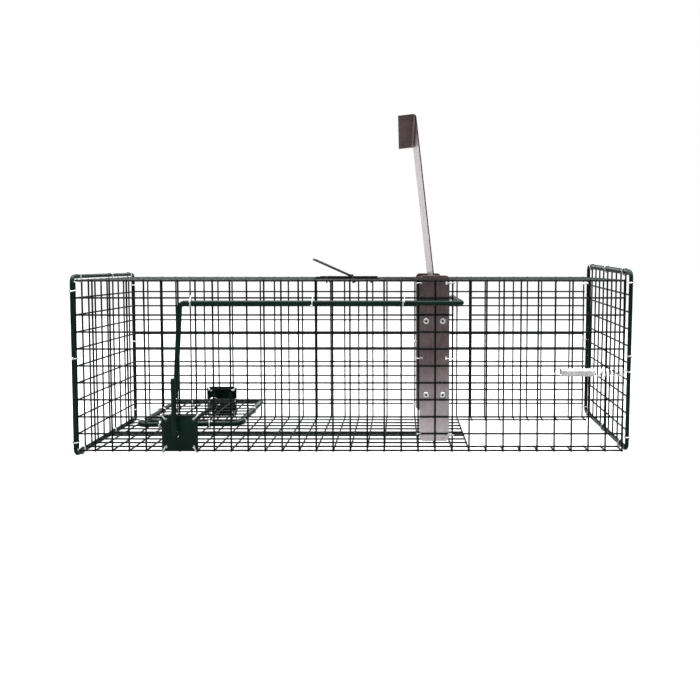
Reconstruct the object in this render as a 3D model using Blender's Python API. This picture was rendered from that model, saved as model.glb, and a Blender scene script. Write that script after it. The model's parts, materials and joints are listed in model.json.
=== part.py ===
"""Live catch trap: a mesh cage with a guillotine door, a treadle trigger and a hinged end door.

+X runs along the cage towards the end door, +Y towards its back and +Z up. The origin is the middle
of the floor mesh, on the underside of its wires. Lengths are in metres.
"""

import math

import bmesh
import bpy
from mathutils import Matrix, Vector

# ---- Driving dimensions ----
PITCH = 0.025  # the real mesh's cell; the panels here have a wire at every second one
STEP = 2 * PITCH
WIRE = 0.0022
CAGE_LENGTH = 32 * PITCH
CAGE_WIDTH = 10 * PITCH
CAGE_HEIGHT = 10 * PITCH
FLOOR_Z = WIRE / 2  # height of the floor wires' centres
ROD = 0.0075  # round bar of the crank and the treadle
END_BAR = 0.006  # round bar of the end frame and the end door
RING_WIRE = 0.0018
WIRE_CORNER = 0.72 * WIRE  # from a square bar's centre to its corner
GAP = 0.0003  # between neighbouring pieces

LEFT = -CAGE_LENGTH / 2
RIGHT = CAGE_LENGTH / 2
FRONT = -CAGE_WIDTH / 2
BACK = CAGE_WIDTH / 2
ROOF_Z = FLOOR_Z + CAGE_HEIGHT
FLOOR_END = 7 * PITCH  # the full floor stops here, and strips go on
STRIP = PITCH  # width of the floor strips beside the entry
CORNER_CLIP = 0.0012  # how far the left columns stop short of the first and last rows

# End frame of round bar
FRAME_X = -0.4023
FRAME_HALF_WIDTH = 0.1294
FRAME_LOW = -0.0040
FRAME_TOP = 0.2571
FRAME_RING_HEIGHTS = (0.0141, 0.1381, 0.2371)
FOOT_RING_Y = 0.020  # along the frame's bottom bar
FRAME_BEND = 0.009

# End door
DOOR_X = 0.4076
DOOR_HINGE_Y = 0.1314  # the hinged bar's centre at the foot of the cage
DOOR_SAG = math.radians(1.9)  # the free side hangs lower than the hinged one
DOOR_HALF_WIDTH = 0.127
DOOR_LOW = 0.0102
DOOR_TOP = 0.2727
DOOR_BEND = 0.010
DOOR_RING_HEIGHTS = (0.0290, 0.1490, 0.2575)
HINGE_RING_HEIGHTS = (0.0191, 0.1411, 0.2411)

# Guillotine door and its guides
SHEET = 0.001
GUIDE_SHEET = 0.0012
DROP_X = 0.1264  # plane of the closed door
DROP_HALF_WIDTH = 0.11775
DROP_FOOT_Z = 0.2209
DROP_HEIGHT = 0.270
LIP = 0.026
LEAN = (-math.radians(3.1), -math.radians(6.37), 0.0)  # turn of the raised door about its foot
GUIDE_X = 0.12365
GUIDE_WIDTH = 0.0437
GUIDE_LOW = 0.0148
GUIDE_TOP = 0.2588
RAIL_LOW = 0.0201
RAIL_LENGTH = 0.233
SLOT_LEFT = 0.1164
SLOT_RIGHT = 0.1276
RAIL_LEG = 0.0112
RIVET_SPREAD = 0.01215
RIVET_HEIGHTS = (0.0831, 0.1921)
CATCH_FRONT = -0.050
CATCH_BACK = 0.075
CATCH_LEG = 0.012

# Trigger crank
CRANK_Y = FRONT - WIRE / 2 - GAP - ROD / 2
CRANK_Z = 0.2188
CRANK_ARM_X = -0.2462
CRANK_ARM_END = 0.0801
CRANK_LEAN = 0.0085  # how far the arm's foot stands to the left of its top
CROSSBAR_X = 0.163
CROSSBAR_END = 0.080
CRANK_BEND = 0.008
CRANK_RING_X = (-0.231, -0.0545, 0.0785)

# Treadle
AXLE_X = -0.2543
AXLE_Z = 0.0261
TREADLE_TIP = -math.radians(0.7)
TREADLE_X = -0.2447
TREADLE_HALF_LENGTH = 0.0768
TREADLE_HALF_WIDTH = 0.0952
LEVER_Y = CRANK_Y - ROD - 0.0008
LEVER_TOP = 0.084  # above the axle
PLATE_SIZE = 0.053
PLATE_THICK = 0.0015
FRONT_PLATE = (-0.2497, 0.0275)  # X and Z of the plate's middle
BACK_PLATE = (-0.2460, 0.0293)
PLATE_HOLE = 0.0205  # from the plate's middle, both ways

# Carrying handle
HANDLE_X = -0.005
HANDLE_RISE = math.radians(24)
HANDLE_LENGTH = 0.066
HANDLE_WIDTH = 0.034
HANDLE_WIRE = 0.003
GUARD_LEFT = -0.062
GUARD_RIGHT = 0.040
GUARD_WIDTH = 0.070
GUARD_THICK = 0.0015

# End door spring
SPRING_X = LEFT + 28 * PITCH
SPRING_Z = 0.1178
SPRING_RADIUS = 0.0062
SPRING_WIRE = 0.0016
SPRING_Y = FRONT - WIRE / 2 - SPRING_RADIUS - 0.0005

# ---- Clear the scene ----
for old in list(bpy.data.objects):
    bpy.data.objects.remove(old, do_unlink=True)


# ---- Materials ----
def material(name, colour, metallic, roughness):
    made = bpy.data.materials.new(name)
    made.use_nodes = True
    shader = made.node_tree.nodes["Principled BSDF"]
    shader.inputs["Base Color"].default_value = (*colour, 1.0)
    shader.inputs["Metallic"].default_value = metallic
    shader.inputs["Roughness"].default_value = roughness
    return made


MESH_FINISH = ((0.012, 0.022, 0.018), 0.0, 0.45)
BAR_FINISH = ((0.008, 0.045, 0.034), 0.0, 0.35)
SHEET_FINISH = ((0.23, 0.20, 0.21), 0.85, 0.42)
ZINC_FINISH = ((0.75, 0.75, 0.76), 1.0, 0.28)
GUARD_FINISH = ((0.01, 0.012, 0.012), 0.0, 0.5)


# ---- Making objects ----
def pivot(name, position, rotation=(0, 0, 0)):
    """An empty on a joint's axis, which the moving pieces hang from."""
    empty = bpy.data.objects.new(name, None)
    empty.location = position
    empty.rotation_euler = rotation
    bpy.context.collection.objects.link(empty)
    return empty


def add(name, data, finish, parent=None):
    piece = bpy.data.objects.new(name, data)
    bpy.context.collection.objects.link(piece)
    data.materials.append(material(name + "_finish", *finish))
    piece.parent = parent
    return piece


def mesh_from(name, bm):
    bmesh.ops.recalc_face_normals(bm, faces=bm.faces)
    data = bpy.data.meshes.new(name)
    bm.to_mesh(data)
    bm.free()
    return data


def smooth(data, degrees=40):
    data.shade_smooth()
    data.set_sharp_from_angle(angle=math.radians(degrees))


def rounded(points, radius, closed=False, steps=5):
    """The path with each corner replaced by an arc of this radius."""
    points = [Vector(p) for p in points]
    count = len(points)
    path = []
    for i, corner in enumerate(points):
        if not closed and i in (0, count - 1):
            path.append(corner)
            continue
        back = (points[i - 1] - corner).normalized()
        ahead = (points[(i + 1) % count] - corner).normalized()
        half = back.angle(ahead) / 2
        reach = radius / math.tan(half)
        centre = corner + (back + ahead).normalized() * radius / math.sin(half)
        start = corner + back * reach - centre
        axis = start.cross(corner + ahead * reach - centre).normalized()
        sweep = math.pi - 2 * half
        for k in range(steps + 1):
            path.append(centre + Matrix.Rotation(sweep * k / steps, 3, axis) @ start)
    return path


def round_bar(name, path, diameter, finish, parent=None, closed=False, sides=10):
    """A round bar swept along the path without twisting."""
    bm = bmesh.new()
    count = len(path)
    path = [Vector(p) for p in path]
    loops = []
    across = None
    for i, point in enumerate(path):
        before = path[i - 1] if closed or i else None
        after = path[(i + 1) % count] if closed or i < count - 1 else None
        into = (point - before).normalized() if before is not None else None
        out = (after - point).normalized() if after is not None else None
        along = (into or out) + (out or into)
        along.normalize()
        if across is None:
            across = along.orthogonal().normalized()
        across = (across - along * across.dot(along)).normalized()
        bend = (into or out).angle(out or into) if into and out else 0.0
        widen = 1 / math.cos(bend / 2)
        up = along.cross(across)
        fold = (out - into) if into and out and bend > 1e-4 else Vector()
        fold = fold.normalized() if fold.length else fold
        loop = []
        for k in range(sides):
            turn = 2 * math.pi * k / sides
            offset = (across * math.cos(turn) + up * math.sin(turn)) * diameter / 2
            offset += fold * offset.dot(fold) * (widen - 1)
            loop.append(bm.verts.new(point + offset))
        loops.append(loop)
    if closed:
        seam = best_seam(loops[-1], loops[0])
        loops.append(seam)
    for first, second in zip(loops, loops[1:]):
        for k in range(sides):
            n = (k + 1) % sides
            bm.faces.new((first[k], first[n], second[n], second[k]))
    if not closed:
        bm.faces.new(loops[0])
        bm.faces.new(loops[-1])
    data = mesh_from(name, bm)
    smooth(data)
    return add(name, data, finish, parent)


def best_seam(last, first):
    """The first loop, turned so that its points meet the last loop's nearest points."""
    count = len(first)
    def miss(shift):
        return sum((last[k].co - first[(k + shift) % count].co).length for k in range(count))
    shift = min(range(count), key=miss)
    return [first[(k + shift) % count] for k in range(count)]


def prism(name, outline, depth, place, finish, parent=None, round_edges=False):
    """A flat outline in XY extruded along +Z by depth, then moved by the matrix."""
    bm = bmesh.new()
    face = bm.faces.new([bm.verts.new((*p, 0.0)) for p in outline])
    grown = bmesh.ops.extrude_face_region(bm, geom=[face])
    moved = [v for v in grown["geom"] if isinstance(v, bmesh.types.BMVert)]
    bmesh.ops.translate(bm, verts=moved, vec=(0, 0, depth))
    bmesh.ops.transform(bm, matrix=place, verts=bm.verts)
    data = mesh_from(name, bm)
    if round_edges:
        smooth(data, 35)
    return add(name, data, finish, parent)


def cut(piece, cutters):
    """Subtract the cutters, which are hidden and stay out of the model."""
    for cutter in cutters:
        cutter.hide_render = True
        cutter.hide_set(True)
        cutter.display_type = "WIRE"
        change = piece.modifiers.new("cut", "BOOLEAN")
        change.operation = "DIFFERENCE"
        change.solver = "EXACT"
        change.object = cutter


def hole_cutter(name, x, y, z, diameter):
    """A cylinder along Y for boring a hole through a sheet."""
    path = [(x, y - 0.01, z), (x, y + 0.01, z)]
    return round_bar(name, path, diameter, ZINC_FINISH, sides=16)


# Rows of three vectors: where the local X, Y and Z of a flat outline point.
def facing(origin, local_x, local_y):
    x, y = Vector(local_x), Vector(local_y)
    return Matrix.Translation(origin) @ Matrix((x, y, x.cross(y))).transposed().to_4x4()


def upright_xz(y):
    """Outline X to world X, outline Y to world Z, extruded towards the front."""
    return facing((0, y, 0), (1, 0, 0), (0, 0, 1))


def upright_yz(x):
    """Outline X to world Y, outline Y to world Z, extruded towards +X."""
    return facing((x, 0, 0), (0, 1, 0), (0, 0, 1))


def level(z):
    return facing((0, 0, z), (1, 0, 0), (0, 1, 0))


# ---- Mesh panels ----
def lattice(name, columns, rows, span_u, span_v, place, finish, parent=None, cuts=()):
    """A welded panel of bars along V at each column and along U at each row, less the cuts.

    cuts are rectangles (low u, high u, low v, high v) that hold no wire.
    """
    half = WIRE / 2

    def lines(bars, span, extra):
        edges = {span[0], span[1], *extra}
        for bar in bars:
            edges |= {bar - half, bar + half}
        return sorted(e for e in edges if span[0] - 1e-9 <= e <= span[1] + 1e-9)

    cut_u = [u for c in cuts for u in c[:2]]
    cut_v = [v for c in cuts for v in c[2:]]
    us, vs = lines(columns, span_u, cut_u), lines(rows, span_v, cut_v)
    bm = bmesh.new()
    corner = {}

    def vertex(i, j):
        if (i, j) not in corner:
            corner[i, j] = bm.verts.new((us[i], vs[j], -half))
        return corner[i, j]

    for i in range(len(us) - 1):
        for j in range(len(vs) - 1):
            u, v = (us[i] + us[i + 1]) / 2, (vs[j] + vs[j + 1]) / 2
            in_bar = any(abs(u - c) < half for c in columns) or any(abs(v - r) < half for r in rows)
            in_cut = any(c[0] < u < c[1] and c[2] < v < c[3] for c in cuts)
            if in_bar and not in_cut:
                bm.faces.new((vertex(i, j), vertex(i + 1, j), vertex(i + 1, j + 1), vertex(i, j + 1)))
    grown = bmesh.ops.extrude_face_region(bm, geom=bm.faces[:])
    moved = [v for v in grown["geom"] if isinstance(v, bmesh.types.BMVert)]
    bmesh.ops.translate(bm, verts=moved, vec=(0, 0, WIRE))
    bmesh.ops.transform(bm, matrix=place, verts=bm.verts)
    return add(name, mesh_from(name, bm), finish, parent)


def spaced(low, high, step=STEP):
    """Evenly spaced positions from low up to high, with high itself as the last."""
    count = math.floor((high - low) / step + 1e-6)
    found = [low + k * step for k in range(count + 1)]
    return found if high - found[-1] < 1e-6 else found + [high]


def build_cage_mesh():
    heights = spaced(FLOOR_Z, ROOF_Z)
    along = spaced(LEFT, RIGHT)
    half = WIRE / 2
    full = (LEFT - half, RIGHT + half)
    tall = (FLOOR_Z - half, ROOF_Z + half)
    axle_cut = (AXLE_X - 0.006, AXLE_X + 0.006, AXLE_Z - 0.006, AXLE_Z + 0.006)
    crossbar_slot = (6 * PITCH + half, 8 * PITCH - half, FLOOR_Z + 7 * PITCH, ROOF_Z - half)
    crank_row = FLOOR_Z + 9 * PITCH  # the row that the crank's rings hang from
    # The two left corners are clipped to make room for the end frame's bends.
    edge = (LEFT - half, LEFT + half)
    clipped = [(*edge, tall[0], FLOOR_Z + half + CORNER_CLIP), (*edge, ROOF_Z - half - CORNER_CLIP, tall[1])]
    lattice("front_mesh", along, [*heights, crank_row], full, tall, upright_xz(FRONT), MESH_FINISH,
            cuts=[axle_cut, crossbar_slot, *clipped])
    lattice("back_mesh", along, heights, full, tall, upright_xz(BACK), MESH_FINISH,
            cuts=[axle_cut, *clipped])

    inner = CAGE_WIDTH / 2 - half - GAP
    across = [-4 * PITCH, -2 * PITCH, 0.0, 2 * PITCH, 4 * PITCH]
    roof_door_left, roof_door_right = 4 * PITCH, 6 * PITCH
    near_frame = LEFT + half + GAP
    lattice("top_mesh_left", spaced(LEFT + STEP, roof_door_left), across,
            (near_frame, roof_door_left + half), (-inner, inner), level(ROOF_Z), MESH_FINISH)
    lattice("top_mesh_right", spaced(roof_door_right, RIGHT), across,
            (roof_door_right - half, RIGHT + half), (-inner, inner), level(ROOF_Z), MESH_FINISH)

    lattice("floor_mesh", spaced(LEFT + STEP, FLOOR_END), across, (near_frame, FLOOR_END + half),
            (-inner, inner), level(FLOOR_Z), MESH_FINISH)
    strip_columns = spaced(FLOOR_END + PITCH, RIGHT)
    strip_row = CAGE_WIDTH / 2 - STRIP
    beyond = (FLOOR_END + half + GAP, RIGHT + half)
    for side, row, span in (("front", -strip_row, (-inner, half - strip_row)),
                            ("back", strip_row, (strip_row - half, inner))):
        lattice(f"floor_strip_{side}", strip_columns, [row], beyond, span, level(FLOOR_Z), MESH_FINISH)

    low, high = FLOOR_Z - half, ROOF_Z - half - GAP
    lattice("end_mesh", across, spaced(FLOOR_Z, ROOF_Z - STEP), (-inner, inner), (low, high),
            upright_yz(LEFT), MESH_FINISH)


# ---- Round bars and rings ----
def frame_loop(x, half_width, low, high, bend):
    corners = [(x, -half_width, low), (x, half_width, low), (x, half_width, high), (x, -half_width, high)]
    return rounded(corners, bend, closed=True, steps=4)


def hog_ring(name, origin, local_x, local_y, bars, parent=None, sides=6, points=14):
    """A closed wire ring round several bars, each (x, y, radius) in the ring's plane."""
    origin, local_x, local_y = Vector(origin), Vector(local_x), Vector(local_y)
    path = []
    for k in range(points):
        turn = 2 * math.pi * (k + 0.5) / points
        nx, ny = math.cos(turn), math.sin(turn)
        reach = lambda bar: bar[0] * nx + bar[1] * ny + bar[2]
        x, y, radius = max(bars, key=reach)
        radius += RING_WIRE / 2 + 2 * GAP
        path.append(origin + local_x * (x + nx * radius) + local_y * (y + ny * radius))
    return round_bar(name, path, RING_WIRE, ZINC_FINISH, parent, closed=True, sides=sides)


def build_end_frame():
    path = frame_loop(FRAME_X, FRAME_HALF_WIDTH, FRAME_LOW, FRAME_TOP, FRAME_BEND)
    round_bar("end_frame", path, END_BAR, BAR_FINISH, closed=True)
    for side, y, bar_y in (("front", FRONT, -FRAME_HALF_WIDTH), ("back", BACK, FRAME_HALF_WIDTH)):
        for place, z in zip(("low", "middle", "high"), FRAME_RING_HEIGHTS):
            bars = [(FRAME_X, bar_y, END_BAR / 2), (LEFT, y, WIRE_CORNER)]
            hog_ring(f"end_frame_ring_{side}_{place}", (0, 0, z), (1, 0, 0), (0, 1, 0), bars)
    bars = [(FRAME_X, FRAME_LOW, END_BAR / 2), (LEFT, FLOOR_Z, WIRE_CORNER)]
    hog_ring("end_frame_ring_foot", (0, FOOT_RING_Y, 0), (1, 0, 0), (0, 0, 1), bars)


# ---- Treadle ----
def plate_outline(size, bend, steps=3):
    half = size / 2
    corners = [(-half, -half, 0), (half, -half, 0), (half, half, 0), (-half, half, 0)]
    return [(p.x, p.y) for p in rounded(corners, bend, closed=True, steps=steps)]


def build_pivot_plates():
    square = plate_outline(PLATE_SIZE, 0.003)
    outside = WIRE / 2 + GAP
    for side, inner, middle in (("front", FRONT - outside, FRONT_PLATE),
                                ("back", BACK + outside + PLATE_THICK, BACK_PLATE)):
        outline = [(x + middle[0], z + middle[1]) for x, z in square]
        plate = prism(f"pivot_plate_{side}", outline, PLATE_THICK, upright_xz(inner), BAR_FINISH)
        cutters = [hole_cutter(f"axle_hole_{side}", AXLE_X, inner, AXLE_Z, ROD + 0.0015)]
        for x in (middle[0] - PLATE_HOLE, middle[0] + PLATE_HOLE):
            for z in (middle[1] - PLATE_HOLE, middle[1] + PLATE_HOLE):
                cutters.append(hole_cutter(f"ring_hole_{side}_{x:.3f}_{z:.3f}", x, inner, z, 0.0044))
        cut(plate, cutters)

    # Each ring passes through a hole and round the plate's edge and the mesh wire behind it.
    plate_x, plate_z = FRONT_PLATE
    plate_y = FRONT - outside - PLATE_THICK / 2
    skin = PLATE_THICK / 2
    reach = skin + RING_WIRE / 2 + 2 * GAP
    rows = ((FLOOR_Z, plate_z - PLATE_HOLE - reach, plate_z - PLATE_SIZE / 2 + skin),
            (FLOOR_Z + STEP, plate_z + PLATE_HOLE + reach, plate_z + PLATE_SIZE / 2 - skin))
    for hand, x in (("left", plate_x - PLATE_HOLE), ("right", plate_x + PLATE_HOLE)):
        for place, (wire_z, hole_z, edge_z) in zip(("low", "high"), rows):
            bars = [(FRONT, wire_z, WIRE_CORNER), (plate_y, hole_z, skin), (plate_y, edge_z, skin)]
            hog_ring(f"pivot_ring_{hand}_{place}", (x, 0, 0), (0, 1, 0), (0, 0, 1), bars)


def build_treadle():
    tip = pivot("treadle_pivot", (AXLE_X, 0, AXLE_Z), (0, TREADLE_TIP, 0))
    rise = ROD + GAP
    left = TREADLE_X - AXLE_X - TREADLE_HALF_LENGTH
    right = TREADLE_X - AXLE_X + TREADLE_HALF_LENGTH
    wide = TREADLE_HALF_WIDTH
    corners = [(left, -wide, rise), (right, -wide, rise), (right, wide, rise), (left, wide, rise)]
    path = rounded(corners, 0.012, closed=True, steps=4)
    round_bar("treadle_frame", path, ROD, BAR_FINISH, tip, closed=True)

    inside_u = (left + ROD / 2 + GAP, right - ROD / 2 - GAP)
    inside_v = (-wide + ROD / 2 + GAP, wide - ROD / 2 - GAP)
    columns = [TREADLE_X - AXLE_X + k * STEP for k in (-1, 0, 1)]
    rows = [-3 * PITCH, -PITCH, PITCH, 3 * PITCH]
    lattice("treadle_mesh", columns, rows, inside_u, inside_v, level(rise + 0.0012), MESH_FINISH, tip)

    # One bar: up the front as the lever, then through both pivot plates as the axle.
    back_end = BACK + WIRE + PLATE_THICK + 0.006
    bend = [(0, LEVER_Y, LEVER_TOP), (0, LEVER_Y, 0), (0, back_end, 0)]
    round_bar("treadle_axle", rounded(bend, 0.006), ROD, BAR_FINISH, tip)

    # Each ring stands across a corner where the frame lies on the axle, and holds the two together.
    across = 0.87 * ROD  # half the width of the crossing bars, cut on the slant
    for side, y, inwards in (("front", -wide, 1), ("back", wide, -1)):
        slant = Vector((-1, inwards, 0)).normalized()
        bars = [(0, 0, across), (0, rise, across)]
        hog_ring(f"treadle_ring_{side}", (0, y, 0), slant, (0, 0, 1), bars, tip)


# ---- Trigger crank ----
def build_crank():
    turn = pivot("crank_pivot", (0, CRANK_Y, CRANK_Z))
    path = [
        (CRANK_ARM_X - CRANK_LEAN, 0, CRANK_ARM_END - CRANK_Z),
        (CRANK_ARM_X, 0, 0),
        (CROSSBAR_X, 0, 0),
        (CROSSBAR_X, CROSSBAR_END - CRANK_Y, 0),
    ]
    round_bar("crank", rounded(path, CRANK_BEND), ROD, BAR_FINISH, turn)
    # Each ring holds the shaft to the row wire just above it and is the shaft's bearing.
    wire_y, wire_z = FRONT, FLOOR_Z + 9 * PITCH
    for number, x in enumerate(CRANK_RING_X, 1):
        bars = [(CRANK_Y, CRANK_Z, ROD / 2), (wire_y, wire_z, WIRE_CORNER)]
        hog_ring(f"crank_ring_{number}", (x, 0, 0), (0, 1, 0), (0, 0, 1), bars)


# ---- Guillotine door ----
def build_guides():
    half = GUIDE_WIDTH / 2
    low, high, bend = GUIDE_LOW, GUIDE_TOP, 0.006
    corners = [(GUIDE_X - half, low, 0), (GUIDE_X + half, low, 0), (GUIDE_X + half, high, 0), (GUIDE_X - half, high, 0)]
    outline = [(p.x, p.y) for p in rounded(corners, bend, closed=True, steps=3)]
    wall = CAGE_WIDTH / 2 - WIRE / 2 - GAP
    for side, way in (("front", 1), ("back", -1)):
        near = -way * wall  # the guide's outer face
        plate_y = near + way * GUIDE_SHEET if way > 0 else near
        plate = prism(f"guide_plate_{side}", outline, GUIDE_SHEET, upright_xz(plate_y), SHEET_FINISH)
        face = near + way * (GUIDE_SHEET + GAP)  # where the rails' flanges begin
        rails = []
        for hand, slot, out in (("left", SLOT_LEFT, -1), ("right", SLOT_RIGHT, 1)):
            profile = [
                (slot, 0), (slot, RAIL_LEG), (slot + out * GUIDE_SHEET, RAIL_LEG),
                (slot + out * GUIDE_SHEET, GUIDE_SHEET), (slot + out * 0.0125, GUIDE_SHEET), (slot + out * 0.0125, 0),
            ]
            place = Matrix.Translation((0, face, RAIL_LOW))
            if way < 0:
                place = place @ Matrix.Scale(-1, 4, (0, 1, 0))
            rails.append(prism(f"guide_rail_{side}_{hand}", profile, RAIL_LENGTH, place, SHEET_FINISH))
        for out, rail in ((-1, rails[0]), (1, rails[1])):
            x = GUIDE_X + out * RIVET_SPREAD
            for level_name, z in zip(("low", "high"), RIVET_HEIGHTS):
                hole = hole_cutter(f"rivet_hole_{side}_{out}_{level_name}", x, near, z, 0.0046)
                cut(plate, [hole])
                cut(rail, [hole])
                hand = "left" if out < 0 else "right"
                build_rivet(f"rivet_{side}_{hand}_{level_name}", x, near, z, way)


def build_rivet(name, x, near, z, way, sides=12):
    """A domed rivet through plate and flange: head outside, shank, and closing head inside."""
    grip = 2 * GUIDE_SHEET + GAP
    outline = [(0.0024, -0.0013), (0.0040, -0.0009), (0.0045, -GAP), (0.0019, -GAP)]
    outline += [(0.0019, grip + GAP), (0.0031, grip + GAP), (0.0028, grip + 0.0011)]
    bm = bmesh.new()
    loops = []
    for radius, along in outline:
        ring = []
        for k in range(sides):
            turn = 2 * math.pi * k / sides
            ring.append(bm.verts.new((x + radius * math.cos(turn), near + way * along, z + radius * math.sin(turn))))
        loops.append(ring)
    for first, second in zip(loops, loops[1:]):
        for k in range(sides):
            n = (k + 1) % sides
            bm.faces.new((first[k], first[n], second[n], second[k]))
    bm.faces.new(loops[0])
    bm.faces.new(loops[-1])
    data = mesh_from(name, bm)
    smooth(data)
    add(name, data, ZINC_FINISH)


def build_drop_door():
    """The sheet is drawn upright with its foot at the pivot, and the pivot leans it."""
    lean = Vector(LEAN)
    foot = (DROP_X, 0, DROP_FOOT_Z)
    tipped = pivot("drop_door_pivot", foot)
    tipped.rotation_mode = "AXIS_ANGLE"
    tipped.rotation_axis_angle = (lean.length, *lean.normalized())
    half, bend = SHEET / 2, 0.004
    centre = rounded([(0, 0, 0), (0, DROP_HEIGHT - half, 0), (-LIP, DROP_HEIGHT - half, 0)], bend, steps=4)
    left, right = [], []
    for i, point in enumerate(centre):
        ahead = (centre[min(i + 1, len(centre) - 1)] - centre[max(i - 1, 0)]).normalized()
        side = Vector((ahead.y, -ahead.x, 0)) * half
        left.append(point - side)
        right.append(point + side)
    outline = [(p.x, p.y) for p in right + left[::-1]]
    place = facing((0, DROP_HALF_WIDTH, 0), (1, 0, 0), (0, 0, 1))
    prism("drop_door", outline, 2 * DROP_HALF_WIDTH, place, SHEET_FINISH, tipped, round_edges=True)

    slide = pivot("catch_pivot", foot)
    near = half + GAP
    tip = CROSSBAR_X - ROD / 2 - 0.0005 - DROP_X
    profile = [(near, -SHEET - GAP), (tip, -SHEET - GAP), (tip, -GAP), (near + SHEET, -GAP),
               (near + SHEET, CATCH_LEG), (near, CATCH_LEG)]
    place = facing((0, CATCH_BACK, 0), (1, 0, 0), (0, 0, 1))
    prism("door_catch", profile, CATCH_BACK - CATCH_FRONT, place, SHEET_FINISH, slide)


# ---- End door and its spring ----
def build_end_door():
    hinge = pivot("end_door_pivot", (DOOR_X, DOOR_HINGE_Y, 0), (DOOR_SAG, 0, 0))
    corners = [(0, -2 * DOOR_HALF_WIDTH, DOOR_LOW), (0, 0, DOOR_LOW), (0, 0, DOOR_TOP), (0, -2 * DOOR_HALF_WIDTH, DOOR_TOP)]
    path = rounded(corners, DOOR_BEND, closed=True, steps=4)
    round_bar("end_door_frame", path, END_BAR, BAR_FINISH, hinge, closed=True)
    clear = END_BAR / 2 + GAP
    span_u = (-2 * DOOR_HALF_WIDTH + clear, -clear)
    span_v = (DOOR_LOW + clear, DOOR_TOP - clear)
    edge = WIRE / 2
    columns = [span_u[0] + edge, *[-DOOR_HALF_WIDTH + k * STEP for k in (-2, -1, 0, 1, 2)]]
    rows = [span_v[0] + edge, *[DOOR_LOW + 0.0285 + k * STEP for k in range(5)], span_v[1] - edge]
    # The edge wires stop short of the frame's bends.
    trim = 0.0055
    sides_u = ((span_u[0], span_u[0] + trim), (span_u[1] - trim, span_u[1]))
    sides_v = ((span_v[0], span_v[0] + trim), (span_v[1] - trim, span_v[1]))
    bends = [(*u, *v) for u in sides_u for v in sides_v]
    lattice("end_door_mesh", columns, rows, span_u, span_v, upright_yz(0), MESH_FINISH, hinge, cuts=bends)
    wire_y = span_u[0] + edge
    for place, z in zip(("low", "middle", "high"), DOOR_RING_HEIGHTS):
        bars = [(0, -2 * DOOR_HALF_WIDTH, END_BAR / 2), (0, wire_y, WIRE_CORNER)]
        hog_ring(f"end_door_ring_{place}", (0, 0, z), (1, 0, 0), (0, 1, 0), bars, hinge)
    for place, z in zip(("low", "middle", "high"), HINGE_RING_HEIGHTS):
        bars = [(DOOR_X, DOOR_HINGE_Y - z * math.tan(DOOR_SAG), END_BAR / 2), (RIGHT, BACK, WIRE_CORNER)]
        hog_ring(f"hinge_ring_{place}", (0, 0, z), (1, 0, 0), (0, 1, 0), bars)


def build_spring():
    """A coarse coil with a loop round a cage wire and a hook over the end door's bar."""
    hang = pivot("spring_pivot", (SPRING_X, 0, SPRING_Z))
    wire_y = FRONT
    path = []
    loop_radius = 0.0046
    for k in range(9):
        turn = math.radians(-60 - 270 * k / 8)
        path.append((loop_radius * math.cos(turn), wire_y + loop_radius * math.sin(turn), -0.004 + 0.001 * k))
    coil_start, tight_end, coil_end = 0.0065, 0.055, 0.0985
    turns_tight, turns_open, per_turn = 10, 5, 8
    radius = SPRING_RADIUS - SPRING_WIRE / 2
    for k in range((turns_tight + turns_open) * per_turn + 1):
        t = k / per_turn
        if t <= turns_tight:
            x = coil_start + (tight_end - coil_start) * t / turns_tight
        else:
            x = tight_end + (coil_end - tight_end) * (t - turns_tight) / turns_open
        turn = 2 * math.pi * t
        path.append((x, SPRING_Y + radius * math.sin(turn), radius * math.cos(turn)))
    hook_x = DOOR_X - SPRING_X
    reach = END_BAR / 2 + GAP + SPRING_WIRE / 2
    centre_y = DOOR_HINGE_Y - 2 * DOOR_HALF_WIDTH / math.cos(DOOR_SAG) - SPRING_Z * math.tan(DOOR_SAG)
    for degrees in (-110, -80, -50, -20, 10, 40):
        turn = math.radians(degrees)
        path.append((hook_x + reach * math.cos(turn), centre_y + reach * math.sin(turn), 0.0))
    round_bar("end_door_spring", path, SPRING_WIRE, ZINC_FINISH, hang, sides=5)


# ---- Carrying handle ----
def build_handle():
    plate_z = ROOF_Z + WIRE / 2 + GAP
    half = GUARD_WIDTH / 2
    corners = [(GUARD_LEFT, -half, 0), (GUARD_RIGHT, -half, 0), (GUARD_RIGHT, half, 0), (GUARD_LEFT, half, 0)]
    outline = [(p.x, p.y) for p in rounded(corners, 0.004, closed=True, steps=3)]
    prism("handle_guard", outline, GUARD_THICK, level(plate_z), GUARD_FINISH)
    axis_z = plate_z + GUARD_THICK + GAP + HANDLE_WIRE / 2
    swing = pivot("handle_pivot", (HANDLE_X, 0, axis_z), (0, HANDLE_RISE, 0))
    wide = HANDLE_WIDTH / 2
    corners = [(0, -wide, 0), (-HANDLE_LENGTH, -wide, 0), (-HANDLE_LENGTH, wide, 0), (0, wide, 0)]
    round_bar("handle", rounded(corners, 0.006, closed=True, steps=4), HANDLE_WIRE, ZINC_FINISH, swing, closed=True, sides=8)
    # Each clip is an arch over the handle's pivot wire, with a foot on either side.
    inner = HANDLE_WIRE / 2 + GAP
    outer = inner + 0.0012
    base = -(HANDLE_WIRE / 2)
    arch_out = [(outer * math.cos(math.radians(a)), outer * math.sin(math.radians(a))) for a in range(0, 181, 30)]
    arch_in = [(inner * math.cos(math.radians(a)), inner * math.sin(math.radians(a))) for a in range(180, -1, -30)]
    foot = base + 0.0010
    profile = [(0.0075, base), (0.0075, foot), (outer, foot), *arch_out, (-outer, foot), (-0.0075, foot),
               (-0.0075, base), (-inner, base), *arch_in, (inner, base)]
    for side, y in (("front", -0.0055), ("back", 0.0105)):
        place = facing((HANDLE_X, y, axis_z), (1, 0, 0), (0, 0, 1))
        prism(f"handle_clip_{side}", profile, 0.005, place, GUARD_FINISH)


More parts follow.
